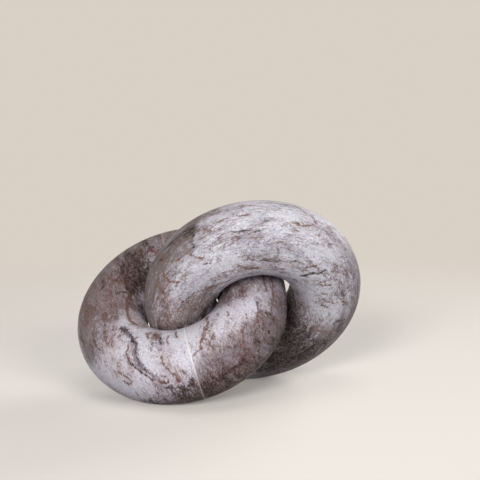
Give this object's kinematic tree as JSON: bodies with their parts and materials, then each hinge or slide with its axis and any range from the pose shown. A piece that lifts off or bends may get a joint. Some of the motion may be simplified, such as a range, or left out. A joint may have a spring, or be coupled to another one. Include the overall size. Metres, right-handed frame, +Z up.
{
  "type": "knot sculpture",
  "caption": "Decorative marble knot of interlocked round links: a link carved whole turns freely in a split link made of doweled and glued halves.",
  "frame": {"origin": "on the floor, under the middle of the whole object's box", "axes": "+Z up, +X from the split link to the closed link, -Y to the side where the split link's foot and front joint are"},
  "size_m": [0.1984, 0.1322, 0.1344],
  "materials": {
    "closed_marble": "honed satin, pale grey-lilac with grey-brown veins",
    "split_marble": "honed satin, pinkish white with brown and dark veins",
    "joint_adhesive": "filled stone adhesive, ground flush",
    "dowel_steel": "plain drawn rod"
  },
  "bodies": {
    "split_link": {"split_link_left_half": "split_marble", "split_link_right_half": "split_marble", "front_joint_glue": "joint_adhesive", "back_joint_glue": "joint_adhesive", "front_joint_dowel": "dowel_steel", "back_joint_dowel": "dowel_steel"},
    "closed_link": {"closed_link": "closed_marble"}
  },
  "joints": [
    {"name": "closed_link_turn", "type": "hinge", "parent": "split_link", "child": "closed_link", "pos_m": [0.02394, 0, 0.06696], "axis": [-0.1397, 0.8241, 0.5489], "continuous": true}
  ]
}
